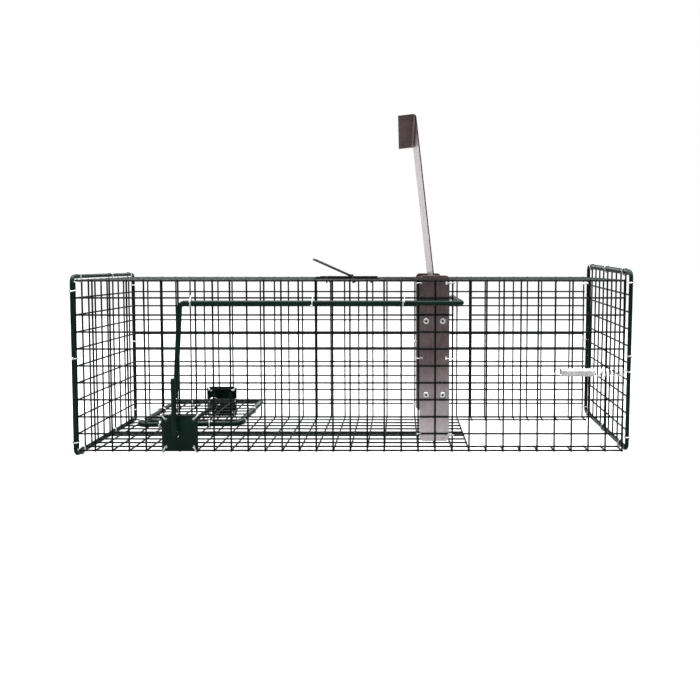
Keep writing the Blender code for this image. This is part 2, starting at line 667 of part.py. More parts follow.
build_cage_mesh()
build_end_frame()
build_pivot_plates()
build_treadle()
build_crank()
build_guides()
build_drop_door()
build_end_door()
build_spring()
build_handle()
bpy.context.view_layer.update()
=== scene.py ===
"""Looks of the live catch trap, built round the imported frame.

+X runs along the cage towards the end door, +Y towards its back and +Z up. Lengths are in metres.
Places come from the boxes of the frame's nodes and from its joints. The panels here hold every wire
of the mesh, where the frame's panels hold every second one.
"""

import json
import math
import random

import bmesh
import bpy
from mathutils import Matrix, Vector


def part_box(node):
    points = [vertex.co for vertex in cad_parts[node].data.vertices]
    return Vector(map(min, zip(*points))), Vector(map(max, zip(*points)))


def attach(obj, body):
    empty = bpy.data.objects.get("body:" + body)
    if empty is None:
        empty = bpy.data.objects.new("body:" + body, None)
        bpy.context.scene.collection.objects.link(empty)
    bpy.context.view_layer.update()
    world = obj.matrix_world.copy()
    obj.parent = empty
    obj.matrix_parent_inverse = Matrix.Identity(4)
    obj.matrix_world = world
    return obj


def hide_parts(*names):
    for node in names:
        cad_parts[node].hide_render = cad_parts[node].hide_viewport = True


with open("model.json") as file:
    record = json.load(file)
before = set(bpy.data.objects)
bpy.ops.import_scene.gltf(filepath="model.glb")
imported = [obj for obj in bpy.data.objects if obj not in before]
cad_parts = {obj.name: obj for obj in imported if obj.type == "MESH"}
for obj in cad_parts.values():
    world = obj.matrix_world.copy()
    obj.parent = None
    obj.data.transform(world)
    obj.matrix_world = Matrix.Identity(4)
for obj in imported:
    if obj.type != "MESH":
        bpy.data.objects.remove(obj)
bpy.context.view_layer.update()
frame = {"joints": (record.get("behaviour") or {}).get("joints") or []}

chance = random.Random(11)
JOINTS = {joint["name"]: joint for joint in frame["joints"]}


# ---- Places in the frame ----
def middle(node):
    low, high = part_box(node)
    return (low + high) / 2


def joint_place(name):
    return Vector(JOINTS[name]["pos_m"])


CAGE_LOW, CAGE_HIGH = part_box("front_mesh")
HALF_PANEL = (CAGE_HIGH.y - CAGE_LOW.y) / 2
CELLS_LONG = 32
LEFT, RIGHT = CAGE_LOW.x + HALF_PANEL, CAGE_HIGH.x - HALF_PANEL
FRONT, BACK = middle("front_mesh").y, middle("back_mesh").y
FLOOR_Z, ROOF_Z = CAGE_LOW.z + HALF_PANEL, CAGE_HIGH.z - HALF_PANEL
PITCH = (RIGHT - LEFT) / CELLS_LONG
WIRE = 0.0026  # a painted wire, a little over the frame's square one
LAYER = 0.0001  # from a panel's middle plane to the centres of either set of wires
STUB = 0.0006  # how far a wire runs past the last one that it crosses
JITTER = 0.0002

ROD = 0.0075  # round bar of the crank and the treadle
END_BAR = 0.006  # round bar of the end frame and the end door
RING_WIRE = 0.0018
SHEET = 0.001
GUIDE_SHEET = 0.0012
GAP = 0.0003

FRAME_LOW, FRAME_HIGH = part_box("end_frame")
GUARD_LOW, GUARD_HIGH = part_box("handle_guard")
GUIDE_LOW, GUIDE_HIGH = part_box("guide_plate_front")


# ---- Shapes ----
def rounded(points, radius, closed=False, steps=8):
    """The path with each corner replaced by an arc of this radius."""
    points = [Vector(p) for p in points]
    count = len(points)
    path = []
    for i, corner in enumerate(points):
        if not closed and i in (0, count - 1):
            path.append(corner)
            continue
        back = (points[i - 1] - corner).normalized()
        ahead = (points[(i + 1) % count] - corner).normalized()
        half = back.angle(ahead) / 2
        reach = radius / math.tan(half)
        centre = corner + (back + ahead).normalized() * radius / math.sin(half)
        start = corner + back * reach - centre
        axis = start.cross(corner + ahead * reach - centre).normalized()
        sweep = math.pi - 2 * half
        for k in range(steps + 1):
            path.append(centre + Matrix.Rotation(sweep * k / steps, 3, axis) @ start)
    return path


def flat(path):
    return [(p.x, p.y) for p in path]


def rounded_rectangle(low_x, high_x, low_y, high_y, radius, steps=6):
    corners = [(low_x, low_y, 0), (high_x, low_y, 0), (high_x, high_y, 0), (low_x, high_y, 0)]
    return flat(rounded(corners, radius, closed=True, steps=steps))


def circle(x, y, diameter, sides=20):
    turns = [2 * math.pi * k / sides for k in range(sides)]
    return [(x + diameter / 2 * math.cos(t), y + diameter / 2 * math.sin(t)) for t in turns]


def facing(origin, local_x, local_y):
    """Where a flat outline goes: its X and Y point along these, and its depth along their cross product."""
    x, y = Vector(local_x), Vector(local_y)
    return Matrix.Translation(origin) @ Matrix((x, y, x.cross(y))).transposed().to_4x4()


class Shape:
    """The points and faces of one piece while it is being put together."""

    def __init__(self):
        self.points = []
        self.faces = []
        self.paints = []

    def add_faces(self, faces, paint):
        self.faces += faces
        self.paints += [paint] * len(faces)

    def loft(self, loops, closed=False, paint=0):
        """The skin between loops of equal count, with end caps unless it is closed."""
        start, sides, count = len(self.points), len(loops[0]), len(loops)
        for loop in loops:
            self.points += [tuple(p) for p in loop]
        faces = []
        for i in range(count if closed else count - 1):
            a, b = start + i * sides, start + (i + 1) % count * sides
            for k in range(sides):
                n = (k + 1) % sides
                faces.append((a + k, a + n, b + n, b + k))
        if not closed:
            faces.append(tuple(reversed(range(start, start + sides))))
            faces.append(tuple(range(start + (count - 1) * sides, start + count * sides)))
        self.add_faces(faces, paint)

    def bar(self, path, diameter, sides=12, closed=False, paint=0):
        """A round bar swept along the path without twisting. Its cut ends are slightly eased."""
        path = [Vector(p) for p in path]
        radii = [diameter / 2] * len(path)
        if not closed:
            shortest = min((path[1] - path[0]).length, (path[-1] - path[-2]).length)
            ease = min(0.16 * diameter, 0.4 * shortest)
            inner_start = path[0] + (path[1] - path[0]).normalized() * ease
            inner_end = path[-1] + (path[-2] - path[-1]).normalized() * ease
            path = [path[0], inner_start, *path[1:-1], inner_end, path[-1]]
            radii = [radii[0] - ease, *radii, radii[0] - ease]
        frames = self.carry(path, closed)
        loops = []
        for point, radius, (along, across, fold, widen) in zip(path, radii, frames):
            up = along.cross(across)
            loop = []
            for k in range(sides):
                turn = 2 * math.pi * k / sides
                offset = (across * math.cos(turn) + up * math.sin(turn)) * radius
                loop.append(point + offset + fold * offset.dot(fold) * (widen - 1))
            loops.append(loop)
        self.loft(loops, closed, paint)

    @staticmethod
    def carry(path, closed):
        """For each point: the path's direction, a carried normal, the way it bends, and how that widens it."""
        count = len(path)
        found = []
        across = None
        for i, point in enumerate(path):
            into = (point - path[i - 1]).normalized() if closed or i else None
            out = (path[(i + 1) % count] - point).normalized() if closed or i < count - 1 else None
            into, out = into or out, out or into
            along = (into + out).normalized()
            across = along.orthogonal() if across is None else across
            across = (across - along * across.dot(along)).normalized()
            fold = out - into
            fold = fold.normalized() if fold.length > 1e-4 else Vector()
            found.append((along, across, fold, 1 / math.cos(into.angle(out) / 2)))
        if not closed:
            return found
        # The normal comes back turned by some angle, so that angle is spread over the whole loop.
        along, first = found[0][:2]
        last = (across - along * across.dot(along)).normalized()
        twist = math.atan2(last.cross(first).dot(along), last.dot(first))
        turned = []
        for i, (along, across, fold, widen) in enumerate(found):
            across = Matrix.Rotation(twist * i / count, 3, along) @ across
            turned.append((along, across, fold, widen))
        return turned

    def lathe(self, outline, place, sides=24, paint=0):
        """The outline's (radius, height) points turned about the placed Z axis."""
        loops = []
        for radius, height in outline:
            loops.append([place @ Vector((*point, height)) for point in circle(0, 0, 2 * radius, sides)])
        self.loft(loops, paint=paint)

    def slab(self, outline, depth, place, holes=(), cap_paint=0):
        """A flat outline with holes, drawn out along the placed Z axis. Its ends may have their own paint."""
        bm = bmesh.new()
        edges = []
        for loop in (outline, *holes):
            corners = [bm.verts.new((*point, 0.0)) for point in loop]
            edges += [bm.edges.new(pair) for pair in zip(corners, corners[1:] + corners[:1])]
        bmesh.ops.triangle_fill(bm, use_beauty=True, use_dissolve=False, edges=edges)
        grown = bmesh.ops.extrude_face_region(bm, geom=bm.faces[:])
        moved = [v for v in grown["geom"] if isinstance(v, bmesh.types.BMVert)]
        bmesh.ops.translate(bm, verts=moved, vec=(0, 0, depth))
        bmesh.ops.transform(bm, matrix=place, verts=bm.verts)
        bmesh.ops.recalc_face_normals(bm, faces=bm.faces)
        start = len(self.points)
        bm.verts.index_update()
        self.points += [tuple(v.co) for v in bm.verts]
        along = place.to_3x3().col[2]
        for face in bm.faces:
            capped = abs(face.normal.dot(along)) > 0.9
            self.add_faces([tuple(start + v.index for v in face.verts)], cap_paint if capped else 0)
        bm.free()

    def move(self, matrix):
        self.points = [tuple(matrix @ Vector(p)) for p in self.points]


def piece(name, shape, slot, body, stands_for=(), soften=0.0, inlay=None):
    """Makes the shape into an object that rides on a body. soften is the width of the round on its edges."""
    mesh = bpy.data.meshes.new(name)
    mesh.from_pydata(shape.points, [], shape.faces)
    mesh.materials.append(FINISHES[slot])
    if inlay:
        mesh.materials.append(FINISHES[inlay])
    mesh.polygons.foreach_set("material_index", shape.paints)
    mesh.shade_smooth()
    mesh.set_sharp_from_angle(angle=math.radians(40))
    made = bpy.data.objects.new(name, mesh)
    bpy.context.scene.collection.objects.link(made)
    if soften:
        bevel = made.modifiers.new("soften", "BEVEL")
        bevel.width = soften
        bevel.segments = 2
        bevel.limit_method = "ANGLE"
        bevel.angle_limit = math.radians(50)
        bevel.use_clamp_overlap = True
    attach(made, body)
    if stands_for:
        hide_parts(*stands_for)
    return made


# ---- Finishes ----
class Finish:
    """A Principled material whose inputs come from procedural textures in the frame's own space."""

    def __init__(self, name, metallic=0.0, specular=0.5):
        self.made = bpy.data.materials.new(name)
        self.made.use_nodes = True
        self.tree = self.made.node_tree
        self.shader = self.tree.nodes["Principled BSDF"]
        self.shader.inputs["Metallic"].default_value = metallic
        self.shader.inputs["Specular IOR Level"].default_value = specular
        self.place = self.node("ShaderNodeTexCoord").outputs["Object"]

    def node(self, kind, inputs=(), **settings):
        made = self.tree.nodes.new(kind)
        for key, value in settings.items():
            setattr(made, key, value)
        for key, value in dict(inputs).items():
            if isinstance(value, bpy.types.NodeSocket):
                self.tree.links.new(value, made.inputs[key])
            else:
                made.inputs[key].default_value = value
        return made

    def noise(self, scale, detail=3.0, stretch=(1, 1, 1)):
        """Noise between about 0.3 and 0.7, with this many features to the metre."""
        place = self.node("ShaderNodeMapping", {"Vector": self.place, "Scale": stretch}).outputs[0]
        return self.node("ShaderNodeTexNoise", {"Vector": place, "Scale": scale, "Detail": detail}).outputs[0]

    def spangle(self, scale):
        """A random shade for each cell, like the crystals of a zinc coat."""
        cells = self.node("ShaderNodeTexVoronoi", {"Vector": self.place, "Scale": scale})
        return self.node("ShaderNodeSeparateColor", {0: cells.outputs["Color"]}).outputs[0]

    def spread(self, source, low, high, start=0.35, end=0.65):
        """The source's start..end mapped to low..high."""
        inputs = {"Value": source, "From Min": start, "From Max": end, "To Min": low, "To Max": high}
        return self.node("ShaderNodeMapRange", inputs).outputs[0]

    def tint(self, mask, first, second):
        """first where the mask is 0 and second where it is 1; either may be a colour or a socket."""
        mix = self.node("ShaderNodeMix", {0: mask}, data_type="RGBA")
        for index, colour in ((6, first), (7, second)):  # the colour inputs of a Mix node
            if isinstance(colour, bpy.types.NodeSocket):
                self.tree.links.new(colour, mix.inputs[index])
            else:
                mix.inputs[index].default_value = (*colour, 1.0)
        return mix.outputs[2]

    def upward(self):
        """1 on faces that look up, 0 on the rest."""
        normal = self.node("ShaderNodeNewGeometry").outputs["Normal"]
        height = self.node("ShaderNodeSeparateXYZ", {0: normal}).outputs[2]
        return self.spread(height, 0.0, 1.0, 0.5, 1.0)

    def times(self, first, second):
        return self.node("ShaderNodeMath", {0: first, 1: second}, operation="MULTIPLY").outputs[0]

    def bump(self, source, height, under=None):
        inputs = {"Height": source, "Distance": height, "Strength": 1.0}
        if under:
            inputs["Normal"] = under
        return self.node("ShaderNodeBump", inputs).outputs[0]

    def finish(self, colour, roughness, normal):
        for key, source in (("Base Color", colour), ("Roughness", roughness), ("Normal", normal)):
            self.tree.links.new(source, self.shader.inputs[key])
        return self.made


def coat(name, dark, light, worn, dust, specular, rough_low, rough_high):
    """Paint on steel: shade drifts, orange peel, worn specks, and a little dust on top."""
    made = Finish(name, specular=specular)
    shade = made.tint(made.spread(made.noise(38), 0, 1), dark, light)
    specks = made.spread(made.noise(420, 5), 0, 0.45, 0.67, 0.73)
    shade = made.tint(specks, shade, worn)
    settled = made.times(made.upward(), made.spread(made.noise(150, 5), 0, 0.08))
    shade = made.tint(settled, shade, dust)
    roughness = made.spread(made.noise(260), rough_low, rough_high)
    peel = made.bump(made.noise(900, 2), 0.00006)
    return made.finish(shade, roughness, made.bump(made.noise(90, 2), 0.00015, peel))


def rolled_sheet(name, painted_bright_below, painted_dark_above):
    """Satin sheet with fine upright rolling lines, a faint spangle and mauve-grey staining.

    Its colour holds painted reflection: bright below the lower given height and dark mauve-grey above the
    higher one, both heights in the frame.
    """
    made = Finish(name, metallic=0.9)
    made.shader.inputs["Specular Tint"].default_value = (0.3, 0.28, 0.28, 1.0)  # dull at a grazing angle
    # Painted reflection: the sheet is painted bright lower down and dark mauve-grey higher up, for what it
    # reflects.
    height = made.node("ShaderNodeSeparateXYZ", {0: made.place}).outputs[2]
    painted_reflection_fade = made.spread(height, 0, 1, painted_bright_below, painted_dark_above)
    painted_bright_sheet = made.tint(made.spread(made.noise(24, 4), 0, 1), (0.50, 0.45, 0.47), (0.62, 0.56, 0.58))
    dull = made.tint(made.spread(made.noise(24, 4), 0, 1), (0.15, 0.105, 0.115), (0.22, 0.165, 0.175))
    shade = made.tint(painted_reflection_fade, painted_bright_sheet, dull)
    shade = made.tint(made.spread(made.spangle(170), 0, 0.16, 0, 1), shade, (0.43, 0.37, 0.38))
    stain = made.spread(made.noise(65, 6), 0, 0.5, 0.58, 0.7)
    shade = made.tint(stain, shade, (0.17, 0.14, 0.15))
    lines = made.noise(60, 4, stretch=(14, 14, 0.35))
    roughness = made.spread(lines, 0.24, 0.4)
    normal = made.bump(lines, 0.00002)
    return made.finish(shade, roughness, made.bump(made.noise(700, 2), 0.00002, normal))


def zinc(name, dark, bright, rough_low, rough_high):
    """Bright plated wire with drawing marks and dull patches."""
    made = Finish(name, metallic=0.5)
    shade = made.tint(made.spread(made.noise(300, 5), 0, 1), dark, bright)
    roughness = made.spread(made.noise(500, 4), rough_low, rough_high)
    return made.finish(shade, roughness, made.bump(made.noise(1600, 3), 0.00003))


FINISHES = {
    "mesh_paint": coat(
        "mesh_coat",
        dark=(0.0015, 0.004, 0.003),
        light=(0.003, 0.008, 0.006),
        worn=(0.012, 0.02, 0.017),
        dust=(0.05, 0.06, 0.055),
        specular=0.1,
        rough_low=0.45,
        rough_high=0.62,
    ),
    "bar_paint": coat(
        "bar_coat",
        dark=(0.0005, 0.009, 0.006),
        light=(0.0012, 0.018, 0.012),
        worn=(0.015, 0.045, 0.035),
        dust=(0.06, 0.08, 0.07),
        specular=0.14,
        rough_low=0.32,
        rough_high=0.48,
    ),
    # The sheet's colour holds painted reflection: bright below 2 cm, dark mauve-grey above 13 cm.
    "sheet_steel": rolled_sheet("rolled_sheet", painted_bright_below=0.02, painted_dark_above=0.13),
    # Painted shade: the door sheet's cut edges are painted near-black for the shade they lie in.
    "edge_painted_shade": coat(
        "edge_painted_shade",
        dark=(0.002, 0.006, 0.005),
        light=(0.006, 0.013, 0.011),
        worn=(0.03, 0.04, 0.04),
        dust=(0.06, 0.06, 0.06),
        specular=0.2,
        rough_low=0.4,
        rough_high=0.6,
    ),
    "zinc_wire": zinc("zinc_plate", (0.62, 0.62, 0.63), (0.93, 0.93, 0.94), rough_low=0.2, rough_high=0.38),
    "guard_paint": coat(
        "guard_coat",
        dark=(0.003, 0.004, 0.004),
        light=(0.008, 0.009, 0.009),
        worn=(0.04, 0.04, 0.04),
        dust=(0.08, 0.08, 0.08),
        specular=0.25,
        rough_low=0.42,
        rough_high=0.6,
    ),
    # Painted shade: the rivets' sunk pins are painted near-black for the shade in the hollow of their heads.
    "rivet_pin_painted_shade": zinc("pin_painted_shade", (0.002, 0.002, 0.002), (0.01, 0.01, 0.01), rough_low=0.7, rough_high=0.9),
}


# ---- Welded mesh ----
def column_x(number):
    """X of the front panel's upright wire with this number, counted from the left end."""
    return LEFT + number * PITCH


def row_z(number):
    """Z of the front panel's level wire with this number, counted from the floor."""
    return FLOOR_Z + number * PITCH


def steps_between(low, high):
    """Places one pitch apart from low to high, both included."""
    count = round((high - low) / PITCH)
    return [low + PITCH * k for k in range(count + 1)]


def stretches(span, holes):
    """What is left of the span outside the holes."""
    left = [span]
    for start, end in holes:
        parts = [part for low, high in left for part in ((low, min(high, start)), (max(low, end), high))]
        left = [(low, high) for low, high in parts if high - low > WIRE]
    return left


def add_weld(shape, place, u, v):
    """The fillet where two wires are fused: a small flattened bead."""
    wide, high = 0.68 * WIRE, 0.62 * WIRE
    loops = []
    for share in (-0.9, -0.35, 0.35, 0.9):
        radius = wide * math.sqrt(1 - share * share)
        loops.append([place @ Vector((x, y, share * high)) for x, y in circle(u, v, 2 * radius, 8)])
    shape.loft(loops)


def add_panel(shape, place, columns, rows, span_u, span_v, cuts=(), outside=1):
    """Wires along V at each column and along U at each row, welded where they cross.

    place sends (u, v, w) into the frame. The columns' wires lie on the +W side, or on the -W side where
    outside is -1. cuts are rectangles (low u, high u, low v, high v) with no wire.
    """
    layer = outside * LAYER
    columns = [u + chance.uniform(-JITTER, JITTER) for u in columns]
    rows = [v + chance.uniform(-JITTER, JITTER) for v in rows]
    runs_v = {u: stretches(span_v, [cut[2:] for cut in cuts if cut[0] < u < cut[1]]) for u in columns}
    runs_u = {v: stretches(span_u, [cut[:2] for cut in cuts if cut[2] < v < cut[3]]) for v in rows}
    for u, runs in runs_v.items():
        for low, high in runs:
            shape.bar([place @ Vector((u, low, layer)), place @ Vector((u, high, layer))], WIRE, sides=10)
    for v, runs in runs_u.items():
        for low, high in runs:
            shape.bar([place @ Vector((low, v, -layer)), place @ Vector((high, v, -layer))], WIRE, sides=10)
    for u, along_v in runs_v.items():
        for v, along_u in runs_u.items():
            crossed = any(a <= v <= b for a, b in along_v) and any(a <= u <= b for a, b in along_u)
            if crossed:
                add_weld(shape, place, u, v)


def corner_cuts(span_u, span_v, trim):
    """Cuts at a panel's four corners, where its wires would run into the bends of the bar round it."""
    ends_u = ((span_u[0] - WIRE, span_u[0] + trim), (span_u[1] - trim, span_u[1] + WIRE))
    ends_v = ((span_v[0] - WIRE, span_v[0] + trim), (span_v[1] - trim, span_v[1] + WIRE))
    return [(*u, *v) for u in ends_u for v in ends_v]


def upright_xz(y):
    """U along X and V up. W points to the front."""
    return facing((0, y, 0), (1, 0, 0), (0, 0, 1))


def upright_yz(x):
    """U along Y and V up. W points to +X."""
    return facing((x, 0, 0), (0, 1, 0), (0, 0, 1))


def level(z):
    """U along X and V along Y. W points up."""
    return facing((0, 0, z), (1, 0, 0), (0, 1, 0))


# ---- Cage mesh ----
OVERHANG = WIRE / 2 + STUB  # from the middle of the last wire to the ends of the wires that cross it
SPAN_X = (LEFT - OVERHANG, RIGHT + OVERHANG)
SPAN_Y = (FRONT - OVERHANG, BACK + OVERHANG)
SPAN_Z = (FLOOR_Z - OVERHANG, ROOF_Z + OVERHANG)
COLUMNS = steps_between(LEFT, RIGHT)
ROWS = steps_between(FLOOR_Z, ROOF_Z)
LANES = steps_between(FRONT + PITCH, BACK - PITCH)  # between the front panel and the back one
SLOT_COLUMN = 22  # the crossbar's slot lies between this upright wire and the next
SLOT_ROWS = (7.5, 9.5)  # and between these heights, counted in cells
FLOOR_CELLS = 23  # the floor is whole over this many cells
SHAFT_ROW = 9  # the level wire that carries the crank's shaft
CORNER_CLIP = 0.0012
AXLE_ROOM = 0.0022  # between the axle and the cut wires round it


def build_walls():
    """The front and back panels, open round the axle. The front one also has the crossbar's slot."""
    axle = joint_place("treadle_tilt")
    clear = ROD / 2 + AXLE_ROOM
    axle_cut = (axle.x - clear, axle.x + clear, axle.z - clear, axle.z + clear)
    slot_x = (column_x(SLOT_COLUMN) + WIRE / 2, column_x(SLOT_COLUMN + 1) - WIRE / 2)
    slot = (*slot_x, row_z(SLOT_ROWS[0]), row_z(SLOT_ROWS[1]))
    # The two left corners are clipped to make room for the end frame's bends.
    clip_x = (LEFT - PITCH, LEFT + WIRE / 2 + GAP)
    clip_z = WIRE / 2 + CORNER_CLIP
    corners = [(*clip_x, FLOOR_Z - PITCH, FLOOR_Z + clip_z), (*clip_x, ROOF_Z - clip_z, ROOF_Z + PITCH)]
    for side, y, outside, cuts in (("front", FRONT, 1, (axle_cut, slot)), ("back", BACK, -1, (axle_cut,))):
        shape = Shape()
        add_panel(shape, upright_xz(y), COLUMNS, ROWS, SPAN_X, SPAN_Z, [*cuts, *corners], outside)
        piece(side + "_wires", shape, "mesh_paint", "cage", [side + "_mesh"])


def build_roof():
    """The two stretches of the top mesh, left and right of the drop door."""
    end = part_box("top_mesh_left")[1].x
    columns = steps_between(LEFT + PITCH, end - HALF_PANEL)
    shape = Shape()
    add_panel(shape, level(ROOF_Z), columns, LANES, (LEFT, end + STUB), SPAN_Y)
    piece("top_wires_left", shape, "mesh_paint", "cage", ["top_mesh_left"])

    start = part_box("top_mesh_right")[0].x
    columns = steps_between(start + HALF_PANEL, RIGHT)
    shape = Shape()
    add_panel(shape, level(ROOF_Z), columns, LANES, (start - STUB, SPAN_X[1]), SPAN_Y)
    piece("top_wires_right", shape, "mesh_paint", "cage", ["top_mesh_right"])


def build_floor_mesh():
    """The floor stops past the drop door. Beyond it only the outermost cell runs on, with cut wires."""
    cut_end = 0.0035  # how far a cut wire reaches past the last one that it crosses
    entry_y = BACK - PITCH - cut_end
    entry = (column_x(FLOOR_CELLS) + WIRE / 2, RIGHT + PITCH, -entry_y, entry_y)
    columns = steps_between(LEFT + PITCH, RIGHT)
    shape = Shape()
    add_panel(shape, level(FLOOR_Z), columns, LANES, (LEFT, SPAN_X[1]), SPAN_Y, cuts=[entry], outside=-1)
    nodes = ["floor_mesh", "floor_strip_front", "floor_strip_back"]
    piece("floor_wires", shape, "mesh_paint", "cage", nodes)


def build_left_end():
    """The closed end's mesh. Its level wires stop at the front and back panels."""
    within = (FRONT + WIRE / 2, BACK - WIRE / 2)
    shape = Shape()
    add_panel(shape, upright_yz(LEFT), LANES, ROWS, within, SPAN_Z, outside=-1)
    piece("end_wires", shape, "mesh_paint", "cage", ["end_mesh"])


# ---- Rings ----
RING_SAMPLES = 44
RING_LAP = math.radians(34)  # how far one end runs on past the other
RING_PITCH = 1.06  # from one end to the other, side by side, in wire diameters


def ring(name, plane, bars, body, stands_for=(), slot="zinc_wire", wire=RING_WIRE):
    """A hog ring closed round several bars, each (x, y, radius) in the plane."""
    origin, local_x, local_y = (Vector(v) for v in plane)
    side = local_x.cross(local_y).normalized()
    start = chance.uniform(0, 2 * math.pi)
    tip = chance.uniform(-0.12, 0.12)
    path = []
    for k in range(RING_SAMPLES + 1):
        share = k / RING_SAMPLES
        turn = start + share * (2 * math.pi + RING_LAP)
        nx, ny = math.cos(turn), math.sin(turn)
        x, y, radius = max(bars, key=lambda bar: bar[0] * nx + bar[1] * ny + bar[2])
        radius += wire / 2 + GAP
        flat_x, flat_y = x + nx * radius, y + ny * radius
        shift = (share - 0.5) * RING_PITCH * wire + tip * (flat_y - bars[0][1])
        path.append(origin + local_x * flat_x + local_y * flat_y + side * shift)
    shape = Shape()
    shape.bar(path, wire, sides=8)
    return piece(name, shape, slot, body, stands_for)


def across_x(x):
    """The plane at this X, for a ring round bars that run along X."""
    return (x, 0, 0), (0, 1, 0), (0, 0, 1)


def across_y(y):
    return (0, y, 0), (1, 0, 0), (0, 0, 1)


def across_z(z):
    return (0, 0, z), (1, 0, 0), (0, 1, 0)


def placed(matrix, plane):
    """The plane moved by the matrix."""
    origin, local_x, local_y = plane
    turn = matrix.to_3x3()
    return matrix @ Vector(origin), turn @ Vector(local_x), turn @ Vector(local_y)


# ---- End frame ----
FRAME_BEND = 0.009
FRAME_RING_SHARE = 0.86  # the outer rings on the frame's level bars, as a share of the way to the walls


def frame_loop(x, ys, zs, bend):
    """The path of a four-sided frame across X."""
    corners = [(x, ys[0], zs[0]), (x, ys[1], zs[0]), (x, ys[1], zs[1]), (x, ys[0], zs[1])]
    return rounded(corners, bend, closed=True, steps=10)


def build_end_frame():
    """The bar bent round the closed end, and the rings that tie it to the mesh's outermost wires."""
    x, half = middle("end_frame").x, END_BAR / 2
    ys = (FRAME_LOW.y + half, FRAME_HIGH.y - half)
    zs = (FRAME_LOW.z + half, FRAME_HIGH.z - half)
    shape = Shape()
    shape.bar(frame_loop(x, ys, zs, FRAME_BEND), END_BAR, sides=20, closed=True)
    piece("end_bar", shape, "bar_paint", "cage", ["end_frame"])
    for side, bar_y, wire_y in zip(("front", "back"), ys, (FRONT, BACK)):
        bars = [(x, bar_y, half), (LEFT, wire_y, WIRE / 2)]
        for height in ("low", "middle", "high"):
            node = f"end_frame_ring_{side}_{height}"
            ring(node + "_wire", across_z(middle(node).z), bars, "cage", [node])

    foot_ring = "end_frame_ring_foot"
    front_y, back_y = FRAME_RING_SHARE * FRONT, FRAME_RING_SHARE * BACK
    low_bars = [(x, zs[0], half), (LEFT, FLOOR_Z, WIRE / 2)]
    high_bars = [(x, zs[1], half), (LEFT, ROOF_Z, WIRE / 2)]
    for side, y in (("front", front_y), ("middle", middle(foot_ring).y), ("back", back_y)):
        nodes = [foot_ring] if side == "middle" else []
        ring(f"end_bar_ring_low_{side}", across_y(y), low_bars, "cage", nodes)
        ring(f"end_bar_ring_high_{side}", across_y(y), high_bars, "cage")


# ---- Pivot plates ----
PLATE_HOLE_OFFSET = 0.0205  # from the plate's middle to its corner holes, both ways
PLATE_HOLE = 0.0048
PLATE_RING_WIRE = 0.0022
AXLE_PLAY = 0.0015


def build_pivot_plates():
    """Each plate has a hole at each corner, and a ring through each hole that ties it to the mesh."""
    axle = joint_place("treadle_tilt")
    corners = [(hand, rise) for hand in (-1, 1) for rise in (-1, 1)]
    for side, wall_y in (("front", FRONT), ("back", BACK)):
        node = "pivot_plate_" + side
        low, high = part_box(node)
        centre = middle(node)
        holes = [circle(axle.x, axle.z, ROD + AXLE_PLAY)]
        for hand, rise in corners:
            x, z = centre.x + hand * PLATE_HOLE_OFFSET, centre.z + rise * PLATE_HOLE_OFFSET
            holes.append(circle(x, z, PLATE_HOLE, 14))
        outline = rounded_rectangle(low.x, high.x, low.z, high.z, 0.003)
        shape = Shape()
        shape.slab(outline, high.y - low.y, upright_xz(high.y), holes)
        piece(f"pivot_sheet_{side}", shape, "bar_paint", "cage", [node], soften=0.0003)
        for hand, rise in corners:
            tie_plate(side, wall_y, hand, rise)


def tie_plate(side, wall_y, hand, rise):
    """The ring through one corner hole. It slants outwards, over the plate's edge and a wire of the mesh."""
    node = "pivot_plate_" + side
    low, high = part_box(node)
    centre = middle(node)
    half = (high.y - low.y) / 2
    x, z = centre.x + hand * PLATE_HOLE_OFFSET, centre.z + rise * PLATE_HOLE_OFFSET
    slant = math.radians(38 if rise > 0 else 30)
    outwards = (hand * math.sin(slant), 0, rise * math.cos(slant))
    to_edge = high.z - z if rise > 0 else z - low.z
    to_wire = row_z(2) - z if rise > 0 else z - FLOOR_Z
    hole_rim = 0.0022  # where the ring bears on the plate
    bars = [
        (wall_y, to_wire / math.cos(slant), WIRE / 2),
        (centre.y, hole_rim, half),
        (centre.y, to_edge / math.cos(slant), half),
    ]
    corner = f"{'left' if hand < 0 else 'right'}_{'low' if rise < 0 else 'high'}"
    nodes = ["pivot_ring_" + corner] if side == "front" else []
    plane = (x, 0, z), (0, 1, 0), outwards
    ring(f"pivot_tie_{side}_{corner}", plane, bars, "cage", nodes, wire=PLATE_RING_WIRE)


# ---- Treadle, drawn level from its axle at the origin and then tipped ----
AXLE = joint_place("treadle_tilt")
TREADLE_TIP = -math.radians(0.7)
TREADLE_PLACE = Matrix.Translation(AXLE) @ Matrix.Rotation(TREADLE_TIP, 4, "Y")
TREADLE_X = -0.2447 - AXLE.x  # the treadle's middle
TREADLE_LEFT, TREADLE_RIGHT = TREADLE_X - 0.0768, TREADLE_X + 0.0768
TREADLE_SIDE = 0.0952
TREADLE_BEND = 0.012
RISE = ROD + GAP  # from the axle's centre up to the treadle frame's
MESH_RISE = RISE + 0.0012
BESIDE_ROD = ROD / 2 + WIRE / 2
MESH_X = (TREADLE_LEFT + BESIDE_ROD, TREADLE_RIGHT - BESIDE_ROD)
MESH_Y = (-TREADLE_SIDE + BESIDE_ROD, TREADLE_SIDE - BESIDE_ROD)
LEVER_TOP = 0.084


def build_treadle_frame():
    corners = [
        (TREADLE_LEFT, -TREADLE_SIDE, RISE),
        (TREADLE_RIGHT, -TREADLE_SIDE, RISE),
        (TREADLE_RIGHT, TREADLE_SIDE, RISE),
        (TREADLE_LEFT, TREADLE_SIDE, RISE),
    ]
    shape = Shape()
    shape.bar(rounded(corners, TREADLE_BEND, closed=True, steps=10), ROD, sides=20, closed=True)
    shape.move(TREADLE_PLACE)
    piece("treadle_bar", shape, "bar_paint", "treadle", ["treadle_frame"])


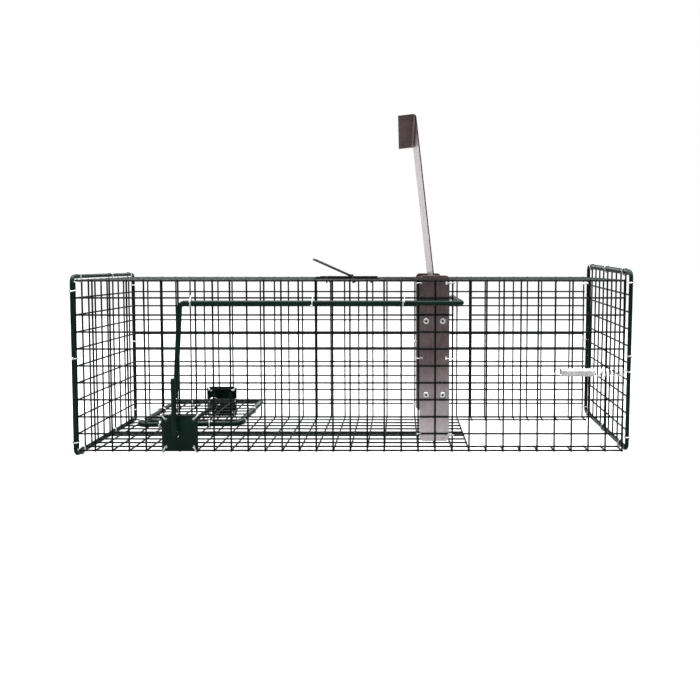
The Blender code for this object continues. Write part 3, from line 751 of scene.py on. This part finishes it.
def build_treadle_mesh():
    """It lies inside the bar, with an edge wire along each side of it."""
    columns = [MESH_X[0], *[TREADLE_X + k * PITCH for k in range(-2, 3)], MESH_X[1]]
    rows = [MESH_Y[0], *[k * PITCH for k in range(-3, 4)], MESH_Y[1]]
    cuts = corner_cuts(MESH_X, MESH_Y, TREADLE_BEND / 2 - BESIDE_ROD)
    shape = Shape()
    add_panel(shape, level(MESH_RISE), columns, rows, MESH_X, MESH_Y, cuts)
    shape.move(TREADLE_PLACE)
    piece("treadle_wires", shape, "mesh_paint", "treadle", ["treadle_mesh"])


def build_axle():
    """One bar: up the front as the lever, then through both pivot plates as the axle."""
    lever_y = joint_place("crank_turn").y - ROD - 0.0008
    back_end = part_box("pivot_plate_back")[1].y + 0.0052
    path = [(0, lever_y, LEVER_TOP), (0, lever_y, 0), (0, back_end, 0)]
    shape = Shape()
    shape.bar(rounded(path, 0.006), ROD, sides=20)
    shape.move(TREADLE_PLACE)
    piece("treadle_lever", shape, "bar_paint", "treadle", ["treadle_axle"])


def build_treadle_rings():
    """Two slanting rings tie the frame to the axle, and the others tie the mesh to the frame."""
    slanted = 0.87 * ROD  # the reach that clears a bar which the ring crosses at a slant
    for side, y, inwards in (("front", -TREADLE_SIDE, 1), ("back", TREADLE_SIDE, -1)):
        slant = Vector((-1, inwards, 0)).normalized()
        plane = placed(TREADLE_PLACE, ((0, y, 0), slant, (0, 0, 1)))
        bars = [(0, 0, slanted), (0, RISE, slanted)]
        node = "treadle_ring_" + side
        ring(node + "_wire", plane, bars, "treadle", [node])
    left_side = ("left", TREADLE_LEFT, MESH_X[0], (-0.079, 0.018))
    right_side = ("right", TREADLE_RIGHT, MESH_X[1], (-0.075, 0.010))
    for side, x, wire_x, ys in (left_side, right_side):
        bars = [(x, RISE, ROD / 2), (wire_x, MESH_RISE, WIRE / 2)]
        for number, y in enumerate(ys, 1):
            plane = placed(TREADLE_PLACE, across_y(y))
            ring(f"treadle_side_ring_{side}_{number}", plane, bars, "treadle")
    for side, y, wire_y in (("front", -TREADLE_SIDE, MESH_Y[0]), ("back", TREADLE_SIDE, MESH_Y[1])):
        bars = [(y, RISE, ROD / 2), (wire_y, MESH_RISE, WIRE / 2)]
        for number, x in enumerate((-0.034, 0.041), 1):
            plane = placed(TREADLE_PLACE, across_x(x))
            ring(f"treadle_bar_ring_{side}_{number}", plane, bars, "treadle")


# ---- Trigger crank ----
CRANK_ARM_X = -0.2462  # the top of the down-arm


def build_crank():
    """One bar: the down-arm, the shaft along the front panel and the crossbar under the door."""
    low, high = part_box("crank")
    shaft = joint_place("crank_turn")
    crossbar_x = high.x - ROD / 2
    path = [
        (low.x + ROD / 2, shaft.y, low.z),
        (CRANK_ARM_X, shaft.y, shaft.z),
        (crossbar_x, shaft.y, shaft.z),
        (crossbar_x, high.y, shaft.z),
    ]
    shape = Shape()
    shape.bar(rounded(path, 0.008, steps=12), ROD, sides=24)
    piece("crank_bar", shape, "bar_paint", "crank", ["crank"])
    bars = [(shaft.y, shaft.z, ROD / 2), (FRONT, row_z(SHAFT_ROW), WIRE / 2)]
    for number in (1, 2, 3):
        node = f"crank_ring_{number}"
        ring(node + "_wire", across_x(middle(node).x), bars, "cage", [node])


# ---- Door guides ----
RING_HOLE = 0.0042
RIVET_HOLE = 0.0046
GUIDE_HOLE_INSET = 0.0042  # from the plate's edge to the middle of its ring holes
GUIDE_RING_HEIGHTS = (0.0255, 0.1375, 0.2475)
GUIDE_COLUMNS = {"left": 20, "right": 22}  # the upright wires that the plates are tied to


def build_guides():
    """A plate on either side, two angle rails behind each, and the rings that tie the plates to the mesh."""
    hole_x = {"left": GUIDE_LOW.x + GUIDE_HOLE_INSET, "right": GUIDE_HIGH.x - GUIDE_HOLE_INSET}
    rivets = [middle(f"rivet_front_{hand}_{row}") for hand in ("left", "right") for row in ("low", "high")]
    holes = [circle(x, z, RING_HOLE, 14) for x in hole_x.values() for z in GUIDE_RING_HEIGHTS]
    holes += [circle(rivet.x, rivet.z, RIVET_HOLE, 16) for rivet in rivets]
    outline = rounded_rectangle(GUIDE_LOW.x, GUIDE_HIGH.x, GUIDE_LOW.z, GUIDE_HIGH.z, 0.006)
    for side, way, wire_y in (("front", 1, FRONT), ("back", -1, BACK)):
        node = "guide_plate_" + side
        low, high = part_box(node)
        shape = Shape()
        shape.slab(outline, high.y - low.y, upright_xz(high.y), holes)
        piece(f"guide_sheet_{side}", shape, "sheet_steel", "cage", [node], soften=0.00028)
        for hand, out in (("left", -1), ("right", 1)):
            build_rail(side, way, hand, out)
            for row in ("low", "high"):
                build_rivet(f"rivet_{side}_{hand}_{row}", way)
        for hand, out in (("left", -1), ("right", 1)):
            plate_bar = (hole_x[hand] + out * 0.0020, middle(node).y, GUIDE_SHEET / 2)
            bars = [plate_bar, (column_x(GUIDE_COLUMNS[hand]), wire_y, WIRE / 2)]
            for number, z in enumerate(GUIDE_RING_HEIGHTS, 1):
                ring(f"guide_tie_{side}_{hand}_{number}", across_z(z), bars, "cage")


def build_rail(side, way, hand, out):
    """An angle: its flange lies against the plate and its leg guides the door's edge."""
    node = f"guide_rail_{side}_{hand}"
    low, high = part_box(node)
    slot_x = high.x if out < 0 else low.x
    face_y = low.y if way > 0 else high.y
    leg, flange, thick = high.y - low.y, high.x - low.x, GUIDE_SHEET
    outer = rounded([(0, leg, 0), (0, 0, 0), (flange, 0, 0)], 0.0014, steps=5)
    inner = rounded([(flange, thick, 0), (thick, thick, 0), (thick, leg, 0)], 0.0006, steps=3)
    outline = [(slot_x + out * p.x, face_y + way * p.y) for p in (*outer, *inner)]
    shape = Shape()
    shape.slab(outline, high.z - low.z, level(low.z))
    piece(node + "_sheet", shape, "sheet_steel", "cage", [node], soften=0.00022)


def build_rivet(node, way):
    """A blind rivet: domed head with a sunk pin outside, shank, and the set end inside."""
    centre = middle(node)
    plate_low, plate_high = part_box("guide_plate_front" if way > 0 else "guide_plate_back")
    outer_y = plate_low.y if way > 0 else plate_high.y
    place = facing((centre.x, outer_y, centre.z), (way, 0, 0), (0, 0, 1))  # +Z outwards
    grip = 2 * GUIDE_SHEET + GAP
    # Each point is a radius and a height over the plate.
    dome = [(0.0016, 0.0004), (0.0017, 0.0012), (0.0025, 0.0015), (0.0038, 0.00105), (0.0045, 0.0003)]
    shank = [(0.0045, 0.00002), (0.0019, 0.0), (0.0019, -grip)]
    set_end = [(0.0029, -grip), (0.0031, -grip - 0.0008), (0.0021, -grip - 0.0016), (0.0010, -grip - 0.0019)]
    pin = [(0.0015, 0.0001), (0.0015, 0.0005), (0.0010, 0.0007), (0.0002, 0.00074)]
    shape = Shape()
    shape.lathe([*reversed(set_end), *reversed(shank), *reversed(dome)], place)
    # The pin takes the second paint, a near-black painted shade in the head's hollow.
    shape.lathe(pin, place, sides=14, paint=1)
    piece(node + "_head", shape, "zinc_wire", "cage", [node], inlay="rivet_pin_painted_shade")


# ---- Guillotine door ----
def build_drop_door():
    """A sheet with a lip bent over at its top. It leans about its foot."""
    lean = JOINTS["door_lean"]
    turn = Matrix.Rotation(-math.radians(lean["range_deg"][1]), 4, Vector(lean["axis"]))
    half, height, lip, half_width = 0.0008, 0.270, 0.026, 0.11775
    top = height - half
    centre = rounded([(0, 0, 0), (0, top, 0), (-lip, top, 0)], 0.004, steps=10)
    left, right = [], []
    for i, point in enumerate(centre):
        before, after = centre[max(i - 1, 0)], centre[min(i + 1, len(centre) - 1)]
        ahead = (after - before).normalized()
        normal = Vector((ahead.y, -ahead.x, 0)) * half
        left.append(point - normal)
        right.append(point + normal)
    shape = Shape()
    upright = facing((0, half_width, 0), (1, 0, 0), (0, 0, 1))
    # Its cut edges at the front and back take the second paint, a near-black painted shade.
    shape.slab(flat(right + left[::-1]), 2 * half_width, upright, cap_paint=1)
    shape.move(Matrix.Translation(joint_place("door_lean")) @ turn)
    nodes = ["drop_door"]
    piece("door_sheet_metal", shape, "sheet_steel", "door_sheet", nodes, soften=0.0002, inlay="edge_painted_shade")


def build_door_catch():
    """The angle at the door's foot that rests on the crank's crossbar."""
    low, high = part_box("door_catch")
    inner_x, inner_z = low.x + SHEET, low.z + SHEET
    outer = rounded([(low.x, high.z, 0), (low.x, low.z, 0), (high.x, low.z, 0)], 0.0013, steps=4)
    inner = rounded([(high.x, inner_z, 0), (inner_x, inner_z, 0), (inner_x, high.z, 0)], 0.0005, steps=3)
    shape = Shape()
    shape.slab(flat([*outer, *inner]), high.y - low.y, upright_xz(high.y))
    piece("door_catch_sheet", shape, "sheet_steel", "door_foot", ["door_catch"], soften=0.0002)


# ---- End door, drawn upright from its hinge at the origin and then turned to sag on its free side ----
HINGE = joint_place("end_door_swing")
DOOR_SAG = math.atan2(-JOINTS["end_door_swing"]["axis"][1], JOINTS["end_door_swing"]["axis"][2])
DOOR_PLACE = Matrix.Translation(HINGE) @ Matrix.Rotation(DOOR_SAG, 4, "X")
DOOR_WIDTH = 0.254  # between the centres of its upright bars
DOOR_FOOT, DOOR_HEAD = 0.0102, 0.2727  # the centres of its level bars
DOOR_BEND = 0.010
DOOR_FIRST_ROW = DOOR_FOOT + 0.0285
BESIDE_BAR = END_BAR / 2 + WIRE / 2
DOOR_MESH_Y = (BESIDE_BAR - DOOR_WIDTH, -BESIDE_BAR)
DOOR_MESH_Z = (DOOR_FOOT + BESIDE_BAR, DOOR_HEAD - BESIDE_BAR)


def build_end_door():
    shape = Shape()
    path = frame_loop(0, (-DOOR_WIDTH, 0), (DOOR_FOOT, DOOR_HEAD), DOOR_BEND)
    shape.bar(path, END_BAR, sides=20, closed=True)
    shape.move(DOOR_PLACE)
    piece("end_door_bar", shape, "bar_paint", "end_door", ["end_door_frame"])

    inset = DOOR_WIDTH / 2 - 4 * PITCH
    columns = [DOOR_MESH_Y[0], *steps_between(inset - DOOR_WIDTH, -inset), DOOR_MESH_Y[1]]
    rows = [DOOR_MESH_Z[0], *[DOOR_FIRST_ROW + k * PITCH for k in range(9)], DOOR_MESH_Z[1]]
    cuts = corner_cuts(DOOR_MESH_Y, DOOR_MESH_Z, DOOR_BEND / 2)
    shape = Shape()
    add_panel(shape, upright_yz(0), columns, rows, DOOR_MESH_Y, DOOR_MESH_Z, cuts)
    shape.move(DOOR_PLACE)
    piece("end_door_wires", shape, "mesh_paint", "end_door", ["end_door_mesh"])


def build_end_door_rings():
    """Rings tie the door's mesh to its bar, and the hinge rings tie the bar to the cage."""
    half = END_BAR / 2
    for height in ("low", "middle", "high"):
        node = "end_door_ring_" + height
        along = (DOOR_PLACE.inverted() @ middle(node)).z
        bars = [(0, -DOOR_WIDTH, half), (0, DOOR_MESH_Y[0], WIRE / 2)]
        ring(node + "_wire", placed(DOOR_PLACE, across_z(along)), bars, "end_door", [node])
        node = "hinge_ring_" + height
        z = middle(node).z
        bars = [(HINGE.x, HINGE.y - z * math.tan(DOOR_SAG), half), (RIGHT, BACK, WIRE / 2)]
        ring(node + "_wire", across_z(z), bars, "cage", [node])
    for height, bar_z, wire_z in (("low", DOOR_FOOT, DOOR_MESH_Z[0]), ("high", DOOR_HEAD, DOOR_MESH_Z[1])):
        bars = [(0, bar_z, half), (0, wire_z, WIRE / 2)]
        for side, y in (("front", -0.221), ("middle", -0.1225), ("back", -0.024)):
            ring(f"end_door_tie_{height}_{side}", placed(DOOR_PLACE, across_y(y)), bars, "end_door")


# ---- End door spring ----
SPRING_WIRE = 0.0016
SPRING_RADIUS = 0.0062 - SPRING_WIRE / 2  # of the wire's centre line
SPRING_RUNS = ((0.0065, 0.055, 31), (0.055, 0.067, 1), (0.067, 0.0995, 5))  # start, end and turns of each
LOOP_RADIUS = 0.0046
LOOP_HEIGHT = 0.008


def spring_loop(hang, steps=24):
    """Three quarters of a turn round the cage wire, rising as it goes."""
    path = []
    for k in range(steps + 1):
        turn = math.radians(-60 - 270 * k / steps)
        x, y = hang.x + LOOP_RADIUS * math.cos(turn), FRONT + LOOP_RADIUS * math.sin(turn)
        path.append((x, y, hang.z - LOOP_HEIGHT / 2 + LOOP_HEIGHT * k / steps))
    return path


def spring_coil(hang, start, end, turns, per_turn=12):
    """A run of the coil along X, just in front of the cage."""
    centre_y = FRONT - WIRE / 2 - SPRING_RADIUS - SPRING_WIRE / 2 - 0.0005
    path = []
    for k in range(turns * per_turn):
        turn = 2 * math.pi * k / per_turn
        x = hang.x + start + (end - start) * k / (turns * per_turn)
        path.append((x, centre_y + SPRING_RADIUS * math.sin(turn), hang.z + SPRING_RADIUS * math.cos(turn)))
    return path


def spring_hook(hang):
    """The hook over the end door's free bar."""
    bar_y = HINGE.y - DOOR_WIDTH / math.cos(DOOR_SAG) - hang.z * math.tan(DOOR_SAG)
    reach = END_BAR / 2 + GAP + SPRING_WIRE / 2
    turns = [math.radians(degrees) for degrees in range(-115, 60, 12)]
    return [(HINGE.x + reach * math.cos(turn), bar_y + reach * math.sin(turn), hang.z) for turn in turns]


def build_spring():
    """A loop round a cage wire, a close coil, a bare link, a drawn-out coil, and a hook."""
    hang = joint_place("spring_hang")
    path = spring_loop(hang)
    for start, end, turns in SPRING_RUNS:
        path += spring_coil(hang, start, end, turns)
    path += spring_hook(hang)
    shape = Shape()
    shape.bar(path, SPRING_WIRE, sides=8)
    piece("door_spring_coil", shape, "zinc_wire", "end_spring", ["end_door_spring"])


# ---- Carrying handle ----
GUARD_THICK = GUARD_HIGH.z - GUARD_LOW.z
GUARD_TIE_X = (-0.042, -0.0005, 0.027)
GUARD_TIE_Y = 0.0225
RIM_WIDE = 0.0014
HANDLE_WIRE = 0.0024
HANDLE_SIDE, HANDLE_LENGTH = 0.017, 0.066
HANDLE_RAISED = math.radians(24)


def build_guard():
    """The plate under the handle, with a raised rim along each side and the rings that tie it down."""
    holes = [circle(x, side * GUARD_TIE_Y, RING_HOLE, 14) for x in GUARD_TIE_X for side in (-1, 1)]
    outline = rounded_rectangle(GUARD_LOW.x, GUARD_HIGH.x, GUARD_LOW.y, GUARD_HIGH.y, 0.004)
    shape = Shape()
    shape.slab(outline, GUARD_THICK, level(GUARD_LOW.z), holes)
    for low_y in (GUARD_LOW.y + GAP, GUARD_HIGH.y - GAP - RIM_WIDE):
        rim = rounded_rectangle(GUARD_LOW.x + 0.003, GUARD_HIGH.x - 0.003, low_y, low_y + RIM_WIDE, 0.0006)
        shape.slab(rim, 0.0016, level(GUARD_HIGH.z - 0.0002))
    piece("guard_sheet", shape, "guard_paint", "cage", ["handle_guard"], soften=0.00035)
    plate_z = GUARD_LOW.z + GUARD_THICK / 2
    for side, word in ((-1, "front"), (1, "back")):
        hole_y = side * (GUARD_TIE_Y + 0.0028)
        bars = [
            (hole_y, ROOF_Z - 0.003, WIRE / 2),
            (hole_y, plate_z, GUARD_THICK / 2),
            (side * GUARD_HIGH.y, plate_z, GUARD_THICK / 2),
        ]
        for number, x in enumerate(GUARD_TIE_X, 1):
            ring(f"guard_tie_{word}_{number}", across_x(x), bars, "cage", slot="guard_paint")


def build_handle():
    """A closed loop of wire, raised a little from the plate."""
    place = Matrix.Translation(joint_place("handle_swing")) @ Matrix.Rotation(HANDLE_RAISED, 4, "Y")
    corners = [
        (0, -HANDLE_SIDE, 0),
        (-HANDLE_LENGTH, -HANDLE_SIDE, 0),
        (-HANDLE_LENGTH, HANDLE_SIDE, 0),
        (0, HANDLE_SIDE, 0),
    ]
    shape = Shape()
    shape.bar(rounded(corners, 0.006, closed=True, steps=8), HANDLE_WIRE, sides=14, closed=True)
    shape.move(place)
    piece("handle_wire", shape, "guard_paint", "handle", ["handle"])


def half_circle(radius, degrees):
    """Points at these angles on a circle round the origin."""
    turns = [math.radians(a) for a in degrees]
    return [(radius * math.cos(turn), radius * math.sin(turn)) for turn in turns]


def build_handle_clips():
    """Two straps arched over the handle's wire, with a foot on either side."""
    axis = joint_place("handle_swing")
    inner, outer, foot_end = 0.0018, 0.0030, 0.0075
    base, foot_top = -0.0015, -0.0005
    over = half_circle(outer, range(0, 181, 12))
    under = half_circle(inner, range(180, -1, -12))
    profile = [
        (foot_end, base), (foot_end, foot_top), (outer, foot_top), *over, (-outer, foot_top),
        (-foot_end, foot_top), (-foot_end, base), (-inner, base), *under, (inner, base),
    ]
    for side in ("front", "back"):
        node = "handle_clip_" + side
        low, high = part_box(node)
        shape = Shape()
        shape.slab(profile, high.y - low.y, facing((axis.x, high.y, axis.z), (1, 0, 0), (0, 0, 1)))
        piece(f"handle_strap_{side}", shape, "guard_paint", "cage", [node], soften=0.0002)


# ---- Stage ----
GROUND_REACH = 30.0
BACKDROP_GLOW = 0.95  # only the camera sees it, so the ground looks evenly lit to its far edge


def build_ground():
    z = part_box("end_frame_ring_foot")[0].z - GAP
    signs = ((-1, -1), (1, -1), (1, 1), (-1, 1))
    corners = [(x * GROUND_REACH, y * GROUND_REACH, z) for x, y in signs]
    mesh = bpy.data.meshes.new("floor")
    mesh.from_pydata(corners, [], [(0, 1, 2, 3)])
    ground = bpy.data.objects.new("ground", mesh)
    bpy.context.scene.collection.objects.link(ground)
    paper = Finish("paper", specular=0.1)
    shade = paper.tint(paper.spread(paper.noise(3), 0, 1), (0.30, 0.30, 0.30), (0.315, 0.315, 0.315))
    camera_ray = paper.node("ShaderNodeLightPath").outputs["Is Camera Ray"]
    paper.shader.inputs["Emission Color"].default_value = (1, 1, 1, 1)
    paper.tree.links.new(paper.times(camera_ray, BACKDROP_GLOW), paper.shader.inputs["Emission Strength"])
    roughness = paper.spread(paper.noise(40), 0.8, 0.95)
    grain = paper.bump(paper.noise(400), 0.00002)
    mesh.materials.append(paper.finish(shade, roughness, grain))


def soft_light(name, place, target, width, depth, power):
    lamp = bpy.data.lights.new(name, "AREA")
    lamp.shape = "RECTANGLE"
    lamp.size, lamp.size_y = width, depth
    lamp.energy = power
    made = bpy.data.objects.new(name, lamp)
    made.location = place
    made.rotation_euler = (Vector(target) - Vector(place)).to_track_quat("-Z", "Y").to_euler()
    made.visible_camera = False
    bpy.context.scene.collection.objects.link(made)


def build_world():
    """White to the camera. The light it gives is dim from the camera's side and stronger from behind."""
    world = bpy.data.worlds.new("studio")
    bpy.context.scene.world = world
    world.use_nodes = True
    tree = world.node_tree
    tree.nodes.clear()

    def node(kind):
        return tree.nodes.new(kind)

    direction, split = node("ShaderNodeTexCoord"), node("ShaderNodeSeparateXYZ")
    tree.links.new(direction.outputs["Generated"], split.inputs[0])
    depth = node("ShaderNodeMapRange")
    for key, value in (("From Min", -1.0), ("From Max", 0.6), ("To Min", 0.13), ("To Max", 0.30)):
        depth.inputs[key].default_value = value
    tree.links.new(split.outputs[1], depth.inputs["Value"])
    around, seen = node("ShaderNodeBackground"), node("ShaderNodeBackground")
    path, mix, out = node("ShaderNodeLightPath"), node("ShaderNodeMixShader"), node("ShaderNodeOutputWorld")
    tree.links.new(depth.outputs[0], around.inputs["Strength"])
    for background in (around, seen):
        background.inputs["Color"].default_value = (1, 1, 1, 1)
    seen.inputs["Strength"].default_value = 1.0
    tree.links.new(path.outputs["Is Camera Ray"], mix.inputs[0])
    tree.links.new(around.outputs[0], mix.inputs[1])
    tree.links.new(seen.outputs[0], mix.inputs[2])
    tree.links.new(mix.outputs[0], out.inputs[0])


def build_camera():
    lens = bpy.data.cameras.new("camera")
    lens.sensor_width, lens.lens = 36.0, 39.911
    lens.shift_x, lens.shift_y = -0.07096, -0.0616
    lens.clip_start, lens.clip_end = 0.05, 100.0
    camera = bpy.data.objects.new("camera", lens)
    camera.location = (0.0728, -1.2541, 0.2756)
    camera.rotation_euler = (math.radians(90 - 3.18), 0, 0)
    bpy.context.scene.collection.objects.link(camera)
    bpy.context.scene.camera = camera
    bpy.context.scene.view_settings.view_transform = "Standard"


build_walls()
build_roof()
build_floor_mesh()
build_left_end()
build_end_frame()
build_pivot_plates()
build_treadle_frame()
build_treadle_mesh()
build_axle()
build_treadle_rings()
build_crank()
build_guides()
build_drop_door()
build_door_catch()
build_end_door()
build_end_door_rings()
build_spring()
build_guard()
build_handle()
build_handle_clips()
build_ground()
soft_light("overhead", (0.0, 0.15, 2.0), (0, 0.1, 0), 3.6, 2.6, 230)
soft_light("behind", (-0.7, 3.0, 0.75), (0.1, 0, 0.3), 1.6, 1.5, 22)
build_world()
build_camera()
